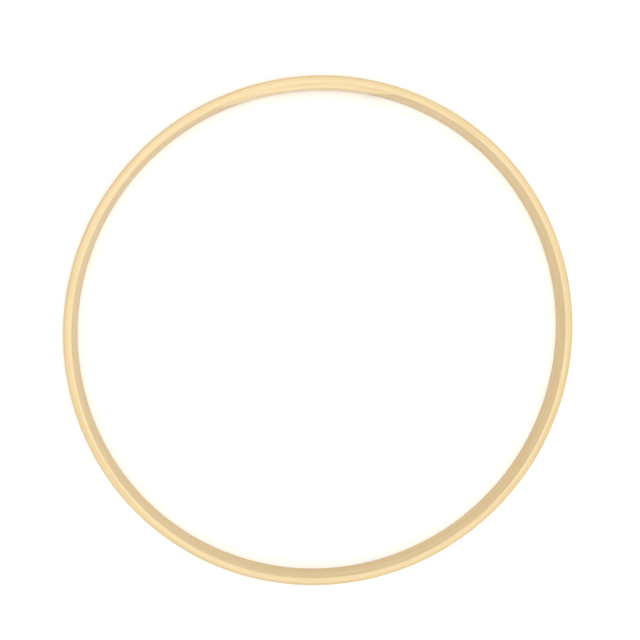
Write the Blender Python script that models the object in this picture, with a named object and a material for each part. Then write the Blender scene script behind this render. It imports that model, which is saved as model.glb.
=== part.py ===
"""Laminated wooden gymnastics hoop, lying flat.

Thin plies are bent round a common axis (+Z) and glued face to face. Each ply is an open
strip whose two tapered ends lap in a scarf joint, and the scarves are spread round the ring.
A tapered splice strip covers the innermost ply's joint from inside, towards +Y.
The floor is z = 0, and the ring's axis passes through the origin.
"""

import math

import bmesh
import bpy

# Driving dimensions, in metres and degrees.

INNER_DIAMETER = 0.700  # clear width between the innermost ply's faces
STRIP_WIDTH = 0.028  # along the ring's axis
PLY_COUNT = 7
PLY_THICKNESS = 0.0015
GLUE_GAP = 0.0003  # clearance between any two glued faces

OUTER_EDGE_ROUND = 0.0040  # radius of the two eased edges on the outside
INNER_EDGE_ROUND = 0.0015  # radius of the two eased edges on the inside

SCARF_LENGTH = 0.045  # how far a ply's two ends lap
SCARF_NIB = 0.0003  # blunt thickness left at each tapered tip
FIRST_SCARF_DEG = 92.0  # where the innermost ply's scarf starts; +Y is 90
SCARF_STAGGER_DEG = 58.8  # from one ply's scarf to the next one's

SPLICE_TOP_PROUD = 0.0050  # how far the splice stands inside the ring at its upper edge
SPLICE_FOOT_PROUD = 0.0008  # the same at its lower edge
SPLICE_NIB = 0.0003  # blunt thickness at both ends of the splice
SPLICE_TOP_DEG = (76.0, 116.0)  # ends of its upper edge
SPLICE_FOOT_DEG = (83.0, 108.0)  # ends of its lower edge
SPLICE_BLUNT_RAMP = 0.12  # share of its length over which the first end thickens
SPLICE_LONG_RAMP = 0.45  # the same at the other end

SEGMENTS = 144  # round the full ring
SPLICE_SEGMENTS = 30
LAP_STEPS = 3  # along each tapered end of a ply
EDGE_STEPS = 3  # steps across an eased edge
CREASE_DEG = 35.0  # faces that meet at more than this stay sharp
END_CLEAR_DEG = 0.1  # stations on the innermost ply stand this far from an end of the splice

# Sizes that follow from them.

INNER_RADIUS = INNER_DIAMETER / 2
PLY_PITCH = PLY_THICKNESS + GLUE_GAP
OUTER_RADIUS = INNER_RADIUS + PLY_COUNT * PLY_PITCH - GLUE_GAP


def clear_scene():
    for obj in list(bpy.data.objects):
        bpy.data.objects.remove(obj, do_unlink=True)


def wood(name, colour, roughness):
    material = bpy.data.materials.new(name)
    material.use_nodes = True
    shader = material.node_tree.nodes["Principled BSDF"]
    shader.inputs["Base Color"].default_value = (*colour, 1.0)
    shader.inputs["Roughness"].default_value = roughness
    shader.inputs["Metallic"].default_value = 0.0
    material.diffuse_color = (*colour, 1.0)
    return material


def smooth_step(value):
    value = min(max(value, 0.0), 1.0)
    return value * value * (3.0 - 2.0 * value)


def mix(first, second, share):
    return first + (second - first) * share


def edge_drop(depth, radius):
    """How far an eased edge lies below the full width at this depth behind its face."""
    if depth >= radius:
        return 0.0
    reach = radius - max(depth, 0.0)
    return radius - math.sqrt(max(radius * radius - reach * reach, 0.0))


def splice_proud(share):
    """(upper, lower) height of the splice's face inside the ring, at this share of its length."""
    swell = smooth_step(share / SPLICE_BLUNT_RAMP) * smooth_step((1.0 - share) / SPLICE_LONG_RAMP)
    tip = GLUE_GAP + SPLICE_NIB
    return mix(tip, SPLICE_TOP_PROUD, swell), mix(tip, SPLICE_FOOT_PROUD, swell)


def covered_share(angle, ends):
    """Where an angle lies between the splice's two ends on one edge, or None outside them."""
    share = (angle % 360.0 - ends[0]) / (ends[1] - ends[0])
    return share if 0.0 <= share <= 1.0 else None


def inner_faces(angle):
    """(upper, lower) radius of the innermost exposed face at this angle."""
    top, foot = covered_share(angle, SPLICE_TOP_DEG), covered_share(angle, SPLICE_FOOT_DEG)
    upper = INNER_RADIUS - (splice_proud(top)[0] if top is not None else 0.0)
    lower = INNER_RADIUS - (splice_proud(foot)[1] if foot is not None else 0.0)
    return upper, lower


def radii_behind(face, back, steps):
    """Radii from a face to the back of its piece, closest together where the edge is eased."""
    return [mix(face, back, (step / steps) ** 2) for step in range(steps + 1)]


def section(low, high, angle, index):
    """Closed outline of one ply's slice of the strip between two radii, as (radius, z)."""
    upper_face, lower_face = inner_faces(angle)
    if index == PLY_COUNT - 1:
        radii = radii_behind(high, low, EDGE_STEPS)[::-1]
    else:
        radii = radii_behind(low, high, EDGE_STEPS if index == 0 else 1)
    top, foot = [], []
    for radius in radii:
        outer = edge_drop(OUTER_RADIUS - radius, OUTER_EDGE_ROUND)
        upper = edge_drop(radius - upper_face, INNER_EDGE_ROUND)
        lower = edge_drop(radius - lower_face, INNER_EDGE_ROUND)
        top.append((radius, STRIP_WIDTH - max(outer, upper)))
        foot.append((radius, max(outer, lower)))
    return top + foot[::-1]


def swept_object(name, outlines, material):
    """One closed body through a row of outlines, each a list of points in space."""
    mesh = bpy.data.meshes.new(name)
    shell = bmesh.new()
    rings = [[shell.verts.new(point) for point in outline] for outline in outlines]
    for here, there in zip(rings, rings[1:]):
        for index in range(len(here)):
            after = (index + 1) % len(here)
            shell.faces.new((here[index], here[after], there[after], there[index]))
    shell.faces.new(rings[0][::-1])
    shell.faces.new(rings[-1])
    bmesh.ops.recalc_face_normals(shell, faces=shell.faces)
    shell.to_mesh(mesh)
    shell.free()
    mesh.materials.append(material)
    mesh.shade_smooth()
    mesh.set_sharp_from_angle(angle=math.radians(CREASE_DEG))
    obj = bpy.data.objects.new(name, mesh)
    bpy.context.scene.collection.objects.link(obj)
    return obj


def at_angle(radius, height, angle):
    turn = math.radians(angle)
    return radius * math.cos(turn), radius * math.sin(turn), height


def ply_angles(first, last, index):
    """Evenly spaced angles round a ply; the innermost has one each side of a splice end too."""
    steps = round(SEGMENTS * (last - first) / 360.0)
    angles = [mix(first, last, step / steps) for step in range(steps + 1)]
    for end in SPLICE_TOP_DEG + SPLICE_FOOT_DEG if index == 0 else ():
        for angle in (end - END_CLEAR_DEG, end + END_CLEAR_DEG):
            turned = first + (angle - first) % 360.0
            if all(abs(turned - other) > END_CLEAR_DEG / 2 for other in angles) and turned < last:
                angles.append(turned)
    return sorted(angles)


def ply_stations(start, low, high, index):
    """(angle, inner radius, outer radius) along a ply, from the tip that lies outside in its
    scarf round to the tip that lies inside."""
    lap = math.degrees(SCARF_LENGTH / low)
    clear = math.degrees(GLUE_GAP / low)
    seam_start, seam_end = low + SCARF_NIB, high - SCARF_NIB  # the seam's inner face at each tip
    stations = []
    for step in range(LAP_STEPS + 1):  # the end that lies outside: thin tip first
        share = step / LAP_STEPS
        angle = mix(start + 2 * clear, start + lap, share)
        stations.append((angle, mix(seam_end, seam_start + GLUE_GAP, share), high))
    for angle in ply_angles(start + lap + clear, start + 360.0, index):
        stations.append((angle, low, high))
    for step in range(LAP_STEPS + 1):  # the end that lies inside: thin tip last
        share = step / LAP_STEPS
        angle = mix(start + clear, start + lap - clear, share) + 360.0
        stations.append((angle, low, mix(seam_end - GLUE_GAP, seam_start, share)))
    return stations


def build_ply(name, index, material):
    low = INNER_RADIUS + index * PLY_PITCH
    start = FIRST_SCARF_DEG + index * SCARF_STAGGER_DEG
    outlines = []
    for angle, inner, outer in ply_stations(start, low, low + PLY_THICKNESS, index):
        outline = section(inner, outer, angle, index)
        outlines.append([at_angle(radius, height, angle) for radius, height in outline])
    return swept_object(name, outlines, material)


def build_plies(face_material, core_materials):
    for index in range(PLY_COUNT):
        if index == 0:
            name, material = "inner_ply", face_material
        elif index == PLY_COUNT - 1:
            name, material = "outer_ply", face_material
        else:
            name, material = f"core_ply_{index}", core_materials[index % len(core_materials)]
        build_ply(name, index, material)


def splice_outline(share):
    """Cross-section of the splice: flat against the ring outside, leaning face inside."""
    top_proud, foot_proud = splice_proud(share)
    top_angle = mix(*SPLICE_TOP_DEG, share)
    foot_angle = mix(*SPLICE_FOOT_DEG, share)
    seat = INNER_RADIUS - GLUE_GAP

    def place(radius, height):
        return at_angle(radius, height, mix(foot_angle, top_angle, height / STRIP_WIDTH))

    def eased(proud):
        """(radius, drop) from the exposed face back to the seat."""
        face = INNER_RADIUS - proud
        radii = radii_behind(face, seat, EDGE_STEPS)
        return [(radius, edge_drop(radius - face, INNER_EDGE_ROUND)) for radius in radii]

    top = [place(radius, STRIP_WIDTH - drop) for radius, drop in eased(top_proud)]
    foot = [place(radius, drop) for radius, drop in eased(foot_proud)]
    return top + foot[::-1]


def build_splice(material):
    outlines = [splice_outline(step / SPLICE_SEGMENTS) for step in range(SPLICE_SEGMENTS + 1)]
    swept_object("splice_strip", outlines, material)


# The hoop itself.
clear_scene()
face_wood = wood("lacquered_face_veneer", (0.83, 0.62, 0.35), 0.36)
core_woods = [
    wood("core_veneer_pale", (0.85, 0.65, 0.39), 0.38),
    wood("core_veneer_warm", (0.78, 0.56, 0.31), 0.38),
]
splice_wood = wood("lacquered_splice", (0.84, 0.64, 0.37), 0.36)
build_plies(face_wood, core_woods)
build_splice(splice_wood)
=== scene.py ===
# A laminated birch gymnastics hoop, lying flat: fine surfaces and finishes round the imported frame.
import math

import bmesh
import bpy
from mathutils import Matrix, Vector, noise


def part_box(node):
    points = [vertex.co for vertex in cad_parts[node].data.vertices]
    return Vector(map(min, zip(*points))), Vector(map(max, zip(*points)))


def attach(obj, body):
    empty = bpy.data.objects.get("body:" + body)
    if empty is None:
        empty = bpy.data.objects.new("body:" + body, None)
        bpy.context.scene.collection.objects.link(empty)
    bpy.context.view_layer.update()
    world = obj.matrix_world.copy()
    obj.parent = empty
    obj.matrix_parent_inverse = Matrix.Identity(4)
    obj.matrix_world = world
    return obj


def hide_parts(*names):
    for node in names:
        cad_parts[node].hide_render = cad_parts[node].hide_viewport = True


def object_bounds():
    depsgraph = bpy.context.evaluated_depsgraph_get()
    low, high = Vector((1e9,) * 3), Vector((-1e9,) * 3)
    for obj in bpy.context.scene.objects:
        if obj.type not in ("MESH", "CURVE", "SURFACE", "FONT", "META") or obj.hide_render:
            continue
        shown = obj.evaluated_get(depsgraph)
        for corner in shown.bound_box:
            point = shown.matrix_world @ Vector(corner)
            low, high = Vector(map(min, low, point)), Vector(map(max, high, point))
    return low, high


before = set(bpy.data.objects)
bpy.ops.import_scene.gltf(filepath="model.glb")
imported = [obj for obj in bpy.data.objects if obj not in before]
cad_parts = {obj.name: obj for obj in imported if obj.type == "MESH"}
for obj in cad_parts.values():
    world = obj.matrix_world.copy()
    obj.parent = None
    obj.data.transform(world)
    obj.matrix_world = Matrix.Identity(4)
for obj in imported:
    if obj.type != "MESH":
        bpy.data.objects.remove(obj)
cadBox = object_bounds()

strip = {
    "segments": 720,  # round the ring
    "arcSteps": 8,  # across an eased edge
    "innerEdge": 0.0015,  # radius of the eased edges inside
    "outerEdge": 0.0040,  # and outside
    "ply": 0.0015,  # thickness of one veneer
    "glueGap": 0.0003,  # clearance that the CAD leaves for each glue line
    "handWork": 0.12,  # how much the easing wanders, as a share of its radius
    "handTurns": 3,  # how fast it wanders round the ring
    "deepest": 0.97,  # an easing's last point lies before this share of its piece's depth
    "rowInset": 0.0005,  # rows of points kept this close to an eased edge, so flat faces shade flat
    "sharpAngle": 38,  # degrees; edges bent more than this stay crisp
}

plies = ["inner_ply"] + sorted(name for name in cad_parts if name.startswith("core_ply"))
plies.append("outer_ply")


def cadPoints(nodeName):
    return [vertex.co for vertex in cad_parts[nodeName].data.vertices]


def reach(nodeName):
    low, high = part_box(nodeName)
    return min(high[0], high[1], -low[0], -low[1])  # a ring's outer radius


stripWidth = cadBox[1][2] - cadBox[0][2]
outerRadius = reach("outer_ply")
plyPitch = (outerRadius - reach("inner_ply")) / (len(plies) - 1)
innerRadius = reach("inner_ply") - strip["ply"]


def mixed(first, second, share):
    return first + (second - first) * share


def smoothStep(value):
    value = min(max(value, 0.0), 1.0)
    return value * value * (3 - 2 * value)


def linear(hexColour):
    # sRGB hex to the linear colour that a shader takes
    channels = [int(hexColour[place:place + 2], 16) / 255 for place in (1, 3, 5)]
    return [c / 12.92 if c <= 0.04045 else ((c + 0.055) / 1.055) ** 2.4 for c in channels] + [1.0]


def addNode(tree, kind, inputs=None, **settings):
    # inputs: socket name or number to a value, or to the output that feeds it
    made = tree.nodes.new(kind)
    for name, value in settings.items():
        setattr(made, name, value)
    for socket, value in (inputs or {}).items():
        if isinstance(value, bpy.types.NodeSocket):
            tree.links.new(value, made.inputs[socket])
        else:
            made.inputs[socket].default_value = value
    return made


def freshMaterial(name):
    material = bpy.data.materials.new(name)
    material.use_nodes = True
    material.node_tree.nodes.clear()
    return material, material.node_tree


birch = {
    # each pattern: metres along and across the grain, finest detail, and its own shift
    "patterns": {
        "streak": (0.35, 0.0045, 3, 0),  # slow light and dark bands
        "fibre": (0.060, 0.0011, 4, 11),  # fine lines; real ones are 0.1 to 0.3 mm, coarser to show
        "fleck": (0.0050, 0.0006, 1, 23),  # short brown dashes
        "ripple": (0.030, 0.060, 2, 37),  # the soft sheen bands that cross birch
    },
    # what a pattern's values, from first to second number, turn into
    "uses": {
        "warmth": ("streak", 0.3, 0.7, 0.0, 1.0),
        "lines": ("fibre", 0.46, 0.72, 0.0, 0.30),
        "dashes": ("fleck", 0.70, 0.76, 0.0, 0.35),
        "sheen": ("ripple", 0.35, 0.65, 0.0, 0.10),
        "roughness": ("fibre", 0.3, 0.7, 0.40, 0.54),  # lacquer over smooth and over dry wood
        "raised": ("fibre", 0.3, 0.7, 1.0, 0.0),
        "pitted": ("fleck", 0.70, 0.78, 0.0, 1.5),
    },
    "noiseRoughness": 0.55,
    "shiftAcross": (1.7, 2.3),  # keeps a pattern's three directions out of step
    "outwardTint": "#EFEBE2",  # tint of the outer side, laid on more deeply towards the outside
    "untintedTo": 0.002,  # metres from the inside that stay free of that tint
    "paintedWallShade": "#EBE7E0",  # painted shade: a darker tint over the inner wall, standing in for the shade that falls there
    "paintedShadeTo": 0.0009,  # metres that it reaches into the top
    "ior": 1.5,
    "coat": 0.35,  # satin lacquer over the wood
    "coatRoughness": 0.28,
    "bumpStrength": 0.5,
    "bumpDepth": 0.00004,  # grain that shows through the lacquer
}


def lacqueredBirch(name, tones, seed, shadedWall=False):
    # Birch veneer, knife-cut and clear lacquered: cream with slow streaks, fine lines and short flecks
    # that run round the ring, and a low even sheen.
    pale, warm, brown = [linear(tone) for tone in tones]
    material, tree = freshMaterial(name)
    place = addNode(tree, "ShaderNodeAttribute", attribute_name="grainAt", attribute_type="GEOMETRY")
    radius = addNode(tree, "ShaderNodeSeparateXYZ", {0: place.outputs["Vector"]}).outputs["Z"]

    values = {"radius": radius}
    for pattern, (along, across, detail, shift) in birch["patterns"].items():
        start = seed + shift
        scaled = addNode(tree, "ShaderNodeVectorMath", {0: place.outputs["Vector"],
                         1: (1 / along, 1 / across, 1 / across)}, operation="MULTIPLY")
        moved = addNode(tree, "ShaderNodeVectorMath", {0: scaled.outputs[0],
                        1: (start, start * birch["shiftAcross"][0], start * birch["shiftAcross"][1])},
                        operation="ADD")
        values[pattern] = addNode(tree, "ShaderNodeTexNoise", {
            "Vector": moved.outputs[0], "Scale": 1.0, "Detail": detail,
            "Roughness": birch["noiseRoughness"]}).outputs["Fac"]

    uses = dict(birch["uses"])
    # a tint that grows from near the inside to the outer radius, darker towards the outside
    uses["outward"] = ("radius", innerRadius + birch["untintedTo"], outerRadius, 0.0, 1.0)
    # painted shade: the inner wall and the edge beside it are darkened in colour, where shade falls on
    # the wall
    uses["inwardShade"] = ("radius", innerRadius, innerRadius + birch["paintedShadeTo"], float(shadedWall), 0.0)
    shares = {}
    for use, (source, low, high, toLow, toHigh) in uses.items():
        shares[use] = addNode(tree, "ShaderNodeMapRange", {
            "Value": values[source], "From Min": low, "From Max": high, "To Min": toLow,
            "To Max": toHigh}, interpolation_type="SMOOTHSTEP").outputs[0]

    colour = pale
    for use, tint, blend in (("warmth", warm, "MIX"), ("lines", brown, "MIX"), ("dashes", brown, "MIX"),
                             ("sheen", pale, "MIX"), ("outward", linear(birch["outwardTint"]), "MULTIPLY"),
                             ("inwardShade", linear(birch["paintedWallShade"]), "MULTIPLY")):
        colour = addNode(tree, "ShaderNodeMix", {"Factor": shares[use], "A": colour, "B": tint},
                         data_type="RGBA", blend_type=blend).outputs["Result"]

    height = addNode(tree, "ShaderNodeMath", {0: shares["raised"], 1: shares["pitted"]},
                     operation="SUBTRACT")
    bump = addNode(tree, "ShaderNodeBump", {"Height": height.outputs[0],
                   "Strength": birch["bumpStrength"], "Distance": birch["bumpDepth"]})
    shader = addNode(tree, "ShaderNodeBsdfPrincipled", {
        "Base Color": colour, "Roughness": shares["roughness"], "Metallic": 0.0,
        "IOR": birch["ior"], "Coat Weight": birch["coat"],
        "Coat Roughness": birch["coatRoughness"], "Normal": bump.outputs[0]})
    addNode(tree, "ShaderNodeOutputMaterial", {"Surface": shader.outputs[0]})
    return material


glueFilm = {
    "amber": "#D2B687",
    "dull": "#C4A576",
    "patch": (0.00625, 0.0025),  # metres along and across the film between lighter and darker places
    "roughness": 0.6,
    "ior": 1.47,
}


def curedGlue(name):
    # Wood glue, cured in a thin film: a dull amber line, a little darker than the veneers beside it.
    along, across = glueFilm["patch"]
    material, tree = freshMaterial(name)
    place = addNode(tree, "ShaderNodeAttribute", attribute_name="grainAt", attribute_type="GEOMETRY")
    scaled = addNode(tree, "ShaderNodeVectorMath", {0: place.outputs["Vector"],
                     1: (1 / along, 1 / across, 1 / across)}, operation="MULTIPLY")
    patch = addNode(tree, "ShaderNodeTexNoise", {"Vector": scaled.outputs[0], "Scale": 1.0, "Detail": 2})
    colour = addNode(tree, "ShaderNodeMix", {"Factor": patch.outputs["Fac"],
                     "A": linear(glueFilm["amber"]), "B": linear(glueFilm["dull"])}, data_type="RGBA")
    shader = addNode(tree, "ShaderNodeBsdfPrincipled", {
        "Base Color": colour.outputs["Result"], "Roughness": glueFilm["roughness"],
        "Metallic": 0.0, "IOR": glueFilm["ior"]})
    addNode(tree, "ShaderNodeOutputMaterial", {"Surface": shader.outputs[0]})
    return material


def edgeDrop(depth, radius):
    if depth >= radius:
        return 0.0
    across = radius - max(depth, 0.0)
    return radius - math.sqrt(max(radius * radius - across * across, 0.0))


def wanderingEdge(radius, angle):
    # hand sanding takes a little more here and a little less there
    turn = math.radians(angle)
    turns = strip["handTurns"]
    millimetres = radius * 1000  # sets the two easings' wander apart
    wander = noise.noise((turns * math.cos(turn), turns * math.sin(turn), millimetres))
    return radius * (1 + strip["handWork"] * wander)


def aroundRing(radius, height, angle):
    turn = math.radians(angle)
    return radius * math.cos(turn), radius * math.sin(turn), height


def sweep(name, stations, material, closed=False):
    # One body through a row of outlines, each point (radius, height, angle, way along the grain);
    # the last outline either has its own end face or meets the first.
    mesh = bpy.data.meshes.new(name)
    shell = bmesh.new()
    grainAt = shell.verts.layers.float_vector.new("grainAt")
    rings = []
    for outline in stations:
        ring = []
        for radius, height, angle, along in outline:
            vertex = shell.verts.new(aroundRing(radius, height, angle))
            vertex[grainAt] = (along, height, radius)
            ring.append(vertex)
        rings.append(ring)
    for here, there in zip(rings, rings[1:] + rings[:1] if closed else rings[1:]):
        for index in range(len(here)):
            after = (index + 1) % len(here)
            shell.faces.new((here[index], here[after], there[after], there[index]))
    if not closed:
        shell.faces.new(rings[0][::-1])
        shell.faces.new(rings[-1])
    bmesh.ops.recalc_face_normals(shell, faces=shell.faces)
    shell.to_mesh(mesh)
    shell.free()
    mesh.materials.append(material)
    mesh.shade_smooth()
    mesh.set_sharp_from_angle(angle=math.radians(strip["sharpAngle"]))
    piece = bpy.data.objects.new(name, mesh)
    bpy.context.scene.collection.objects.link(piece)
    return piece


# The splice that covers the innermost joint from inside.
splice = {
    "segments": 160,
    "bluntRamp": 0.12,  # share of its length over which the first end thickens
    "longRamp": 0.45,  # and the other end
    "nib": 0.0006,  # thickness left at both ends, glue included
    "edgeBand": 0.1,  # share of the width beside each long edge that counts as that edge
    "grainShift": 50,  # metres; sets its grain apart from the veneers'
}


def spliceEnds(heightLow, heightHigh):
    # (first angle, last angle, highest rise) of the CAD splice along one of its edges
    points = [p for p in cadPoints("splice_strip") if heightLow <= p.z <= heightHigh]
    angles = [math.degrees(math.atan2(p.y, p.x)) % 360 for p in points]
    return min(angles), max(angles), innerRadius - min(math.hypot(p.x, p.y) for p in points)


spliceTop = spliceEnds(stripWidth * (1 - splice["edgeBand"]), stripWidth)
spliceFoot = spliceEnds(0.0, stripWidth * splice["edgeBand"])


def spliceRise(share, edge):
    swell = smoothStep(share / splice["bluntRamp"]) * smoothStep((1 - share) / splice["longRamp"])
    return mixed(splice["nib"], edge[2], swell)


def faceUnder(angle, edge):
    # radius of the innermost face at this angle, along one edge
    share = (angle % 360 - edge[0]) / (edge[1] - edge[0])
    return innerRadius - (spliceRise(share, edge) if 0 <= share <= 1 else 0.0)


def arcShares(radius, depth):
    # how far into a piece of this depth the points of an eased edge lie, face first
    steps = strip["arcSteps"]
    shares = [radius * (1 - math.cos(math.pi / 2 * step / steps)) / depth for step in range(steps + 1)]
    shares = [share for share in shares if share < strip["deepest"]]
    return shares + [1.0]


def buildSplice(material):
    seat = innerRadius
    stations = []
    for step in range(splice["segments"] + 1):
        share = step / splice["segments"]
        topAngle = mixed(spliceTop[0], spliceTop[1], share)
        footAngle = mixed(spliceFoot[0], spliceFoot[1], share)

        def place(radius, height):
            angle = mixed(footAngle, topAngle, height / stripWidth)
            along = math.radians(angle) * innerRadius + splice["grainShift"]
            return radius, height, angle, along

        edge = wanderingEdge(strip["innerEdge"], topAngle)
        faceTop, faceFoot = seat - spliceRise(share, spliceTop), seat - spliceRise(share, spliceFoot)
        top, foot = [], []
        for into in arcShares(strip["innerEdge"], spliceTop[2]):
            radius = mixed(faceTop, seat, into)
            top.append(place(radius, stripWidth - edgeDrop(radius - faceTop, edge)))
            radius = mixed(faceFoot, seat, into)
            foot.append(place(radius, edgeDrop(radius - faceFoot, edge)))
        row = (edge + strip["rowInset"]) / stripWidth
        wall = [place(mixed(faceFoot, faceTop, up), stripWidth * up) for up in (row, 1 - row)]
        stations.append(top[::-1] + wall[::-1] + foot)
    return sweep("splice", stations, material)


veneer = {
    "firstScarf": 92.0,  # degrees; where the innermost veneer's ends start to lap, +Y being 90
    "stagger": 58.8,  # degrees from one veneer's lap to the next one's
    "lap": 0.045,  # metres that the two ends overlap
    "lapSteps": 12,
    "easedSteps": 4,  # rows of points where the outer easing cuts a core veneer
    "grainShift": 7,  # metres from one veneer's grain to the next one's
    "tip": 0.00012,  # thickness left at a tapered end
    "glue": 0.0001,  # thickness of a glue line
    "glueSunk": 0.00003,  # it stands this far below the sanded edges
}


def veneerSpan(index):
    # inner and outer radius; the glue line is thinner than the clearance in the CAD
    half = veneer["glue"] / 2
    border = innerRadius + index * plyPitch - strip["glueGap"] / 2
    low = innerRadius if index == 0 else border + half
    high = outerRadius if index == len(plies) - 1 else border + plyPitch - half
    return low, high


def veneerShares(index, low, high):
    depth = high - low
    if index == 0:
        return arcShares(strip["innerEdge"], depth)
    if index == len(plies) - 1:
        return [1 - share for share in arcShares(strip["outerEdge"], depth)][::-1]
    eased = outerRadius - high < strip["outerEdge"]
    steps = veneer["easedSteps"] if eased else 1
    return [step / steps for step in range(steps + 1)]


def veneerStations(start, low, high):
    # (angle, inner radius, outer radius) from the tip outside the lap round to the tip inside it
    lap = math.degrees(veneer["lap"] / low)
    clear = math.degrees(veneer["glue"] / low)
    tip, glue = veneer["tip"], veneer["glue"]
    stations = []
    for step in range(veneer["lapSteps"] + 1):
        share = step / veneer["lapSteps"]
        angle = mixed(start + 2 * clear, start + lap, share)
        stations.append((angle, mixed(high - tip, low + tip + glue, share), high))
    first, last = start + lap + clear, start + 360
    for step in range(strip["segments"] + 1):
        stations.append((mixed(first, last, step / strip["segments"]), low, high))
    for step in range(veneer["lapSteps"] + 1):
        share = step / veneer["lapSteps"]
        angle = mixed(start + clear, start + lap - clear, share) + 360
        stations.append((angle, low, mixed(high - tip - glue, low + tip, share)))
    return stations


def buildVeneer(name, index, material):
    low, high = veneerSpan(index)
    shares = veneerShares(index, low, high)
    start = veneer["firstScarf"] + index * veneer["stagger"]
    stations = []
    for angle, inner, outer in veneerStations(start, low, high):
        insideEdge = wanderingEdge(strip["innerEdge"], angle)
        outsideEdge = wanderingEdge(strip["outerEdge"], angle)
        faceTop, faceFoot = faceUnder(angle, spliceTop), faceUnder(angle, spliceFoot)
        along = math.radians(angle - start) * innerRadius + index * veneer["grainShift"]
        top, foot = [], []
        for share in shares:
            radius = mixed(inner, outer, share)
            outerDrop = edgeDrop(outerRadius - radius, outsideEdge)
            topDrop = max(outerDrop, edgeDrop(radius - faceTop, insideEdge))
            footDrop = max(outerDrop, edgeDrop(radius - faceFoot, insideEdge))
            top.append((radius, stripWidth - topDrop, angle, along))
            foot.append((radius, footDrop, angle, along))
        innerRow = insideEdge + strip["rowInset"]
        outerRow = outsideEdge + strip["rowInset"]
        outline = top
        if index == len(plies) - 1:
            outline = outline + [(outer, stripWidth - outerRow, angle, along),
                                 (outer, outerRow, angle, along)]
        outline = outline + foot[::-1]
        if index == 0:
            outline = outline + [(inner, innerRow, angle, along),
                                 (inner, stripWidth - innerRow, angle, along)]
        stations.append(outline)
    return sweep(name, stations, material)


def buildGlueLine(name, index, material):
    # the film outside one veneer, a hair below the sanded edges
    low, high = veneerSpan(index)[1], veneerSpan(index + 1)[0]
    stations = []
    for step in range(strip["segments"]):
        angle = 360 * step / strip["segments"]
        drop = edgeDrop(outerRadius - high, wanderingEdge(strip["outerEdge"], angle))
        drop += veneer["glueSunk"]
        along = math.radians(angle) * low
        stations.append([(low, stripWidth - drop, angle, along), (high, stripWidth - drop, angle, along),
                         (high, drop, angle, along), (low, drop, angle, along)])
    return sweep(name, stations, material, closed=True)


studio = {
    "cameraAt": (-0.120, 0.119, 0.814),
    "cameraTilt": (-6.24, -7.41, 0.0),  # degrees
    "lens": 32.11,
    "sensor": 36.0,
    "skyStrength": 0.90,
    "sunSpread": 70,  # degrees; as wide as a large overhead diffuser
    "sunStrength": 0.30,
    "softboxAt": (-0.06, 0.06, 1.05),
    "softboxSize": 0.8,
    "softboxPower": 4.3,
}


def buildStudio():
    scene = bpy.context.scene
    camera = bpy.data.objects.new("camera", bpy.data.cameras.new("camera"))
    camera.location = studio["cameraAt"]
    camera.rotation_euler = [math.radians(turn) for turn in studio["cameraTilt"]]
    camera.data.lens = studio["lens"]
    camera.data.sensor_width = studio["sensor"]
    scene.collection.objects.link(camera)
    scene.camera = camera

    world = bpy.data.worlds.new("studio")
    world.use_nodes = True
    background = world.node_tree.nodes["Background"]
    background.inputs["Color"].default_value = (1, 1, 1, 1)
    background.inputs["Strength"].default_value = studio["skyStrength"]
    scene.world = world

    diffuser = bpy.data.objects.new("diffuser", bpy.data.lights.new("diffuser", "SUN"))
    diffuser.data.angle = math.radians(studio["sunSpread"])
    diffuser.data.energy = studio["sunStrength"]
    scene.collection.objects.link(diffuser)

    softbox = bpy.data.objects.new("softbox", bpy.data.lights.new("softbox", "AREA"))
    softbox.data.size = studio["softboxSize"]
    softbox.data.energy = studio["softboxPower"]
    softbox.location = studio["softboxAt"]
    scene.collection.objects.link(softbox)

    scene.view_settings.view_transform = "Standard"
    scene.view_settings.look = "None"


plaster = {
    "radius": 9.0,
    "sides": 96,
    "tones": ("#F6F6F4", "#F8F8F7"),
    "patches": 6.0,  # to a metre
    "roughness": 0.9,
    "clearance": 0.0002,  # metres below the hoop
}


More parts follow.
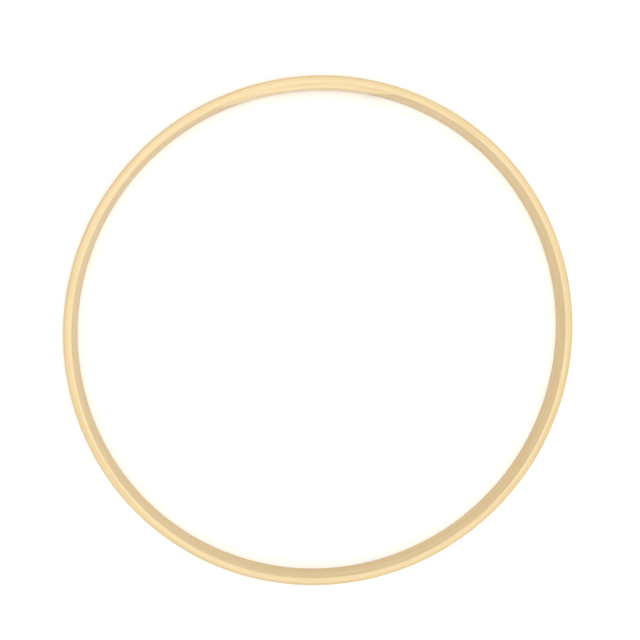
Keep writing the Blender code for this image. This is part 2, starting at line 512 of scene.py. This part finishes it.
def buildFloor():
    # Plaster, painted with a roller: near white, with a trace of unevenness.
    material, tree = freshMaterial("plaster_painted")
    place = addNode(tree, "ShaderNodeTexCoord")
    uneven = addNode(tree, "ShaderNodeTexNoise", {"Vector": place.outputs["Object"],
                     "Scale": plaster["patches"], "Detail": 3})
    colour = addNode(tree, "ShaderNodeMix", {"Factor": uneven.outputs["Fac"],
                     "A": linear(plaster["tones"][0]), "B": linear(plaster["tones"][1])},
                     data_type="RGBA")
    shader = addNode(tree, "ShaderNodeBsdfPrincipled", {"Base Color": colour.outputs["Result"],
                     "Roughness": plaster["roughness"], "Metallic": 0.0})
    addNode(tree, "ShaderNodeOutputMaterial", {"Surface": shader.outputs[0]})
    mesh = bpy.data.meshes.new("floor")
    disc = bmesh.new()
    bmesh.ops.create_circle(disc, cap_ends=True, radius=plaster["radius"],
                             segments=plaster["sides"])
    disc.to_mesh(mesh)
    disc.free()
    mesh.materials.append(material)
    floor = bpy.data.objects.new("floor", mesh)
    floor.location.z = cadBox[0][2] - plaster["clearance"]
    bpy.context.scene.collection.objects.link(floor)
    return floor


buildStudio()
floor = buildFloor()
print("studio ready")

# each set of tones: pale wood, warm wood and brown lines
faceTones = ("#E6CFA1", "#DCC290", "#B8905C")
warmTones = ("#E5CEA0", "#DCC290", "#B78E5A")
paleTones = ("#E7D1A3", "#DEC594", "#B9925D")
spliceTones = ("#E5CEA0", "#DBC18F", "#B78F5B")

# the inner veneer carries the painted shade on its inner wall
innerBirch = lacqueredBirch("birch_inner_veneer_lacquered", faceTones, 1, shadedWall=True)
outerBirch = lacqueredBirch("birch_outer_veneer_lacquered", faceTones, 5)
warmBirch = lacqueredBirch("birch_core_warm", warmTones, 9)
paleBirch = lacqueredBirch("birch_core_pale", paleTones, 13)
spliceBirch = lacqueredBirch("birch_splice_lacquered", spliceTones, 17)
glue = curedGlue("wood_glue_cured")
print("finishes ready")

for index, node in enumerate(plies):
    if index == 0:
        name, material = "inner_veneer", innerBirch
    elif index == len(plies) - 1:
        name, material = "outer_veneer", outerBirch
    else:
        name, material = f"core_veneer_{index}", warmBirch if index % 2 else paleBirch
    piece = buildVeneer(name, index, material)
    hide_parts(node)
    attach(piece, "root")
print("veneers ready")

for index in range(len(plies) - 1):
    piece = buildGlueLine(f"glue_line_{index + 1}", index, glue)
    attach(piece, "root")
print("glue lines ready")

piece = buildSplice(spliceBirch)
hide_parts("splice_strip")
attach(piece, "root")
print("splice ready")
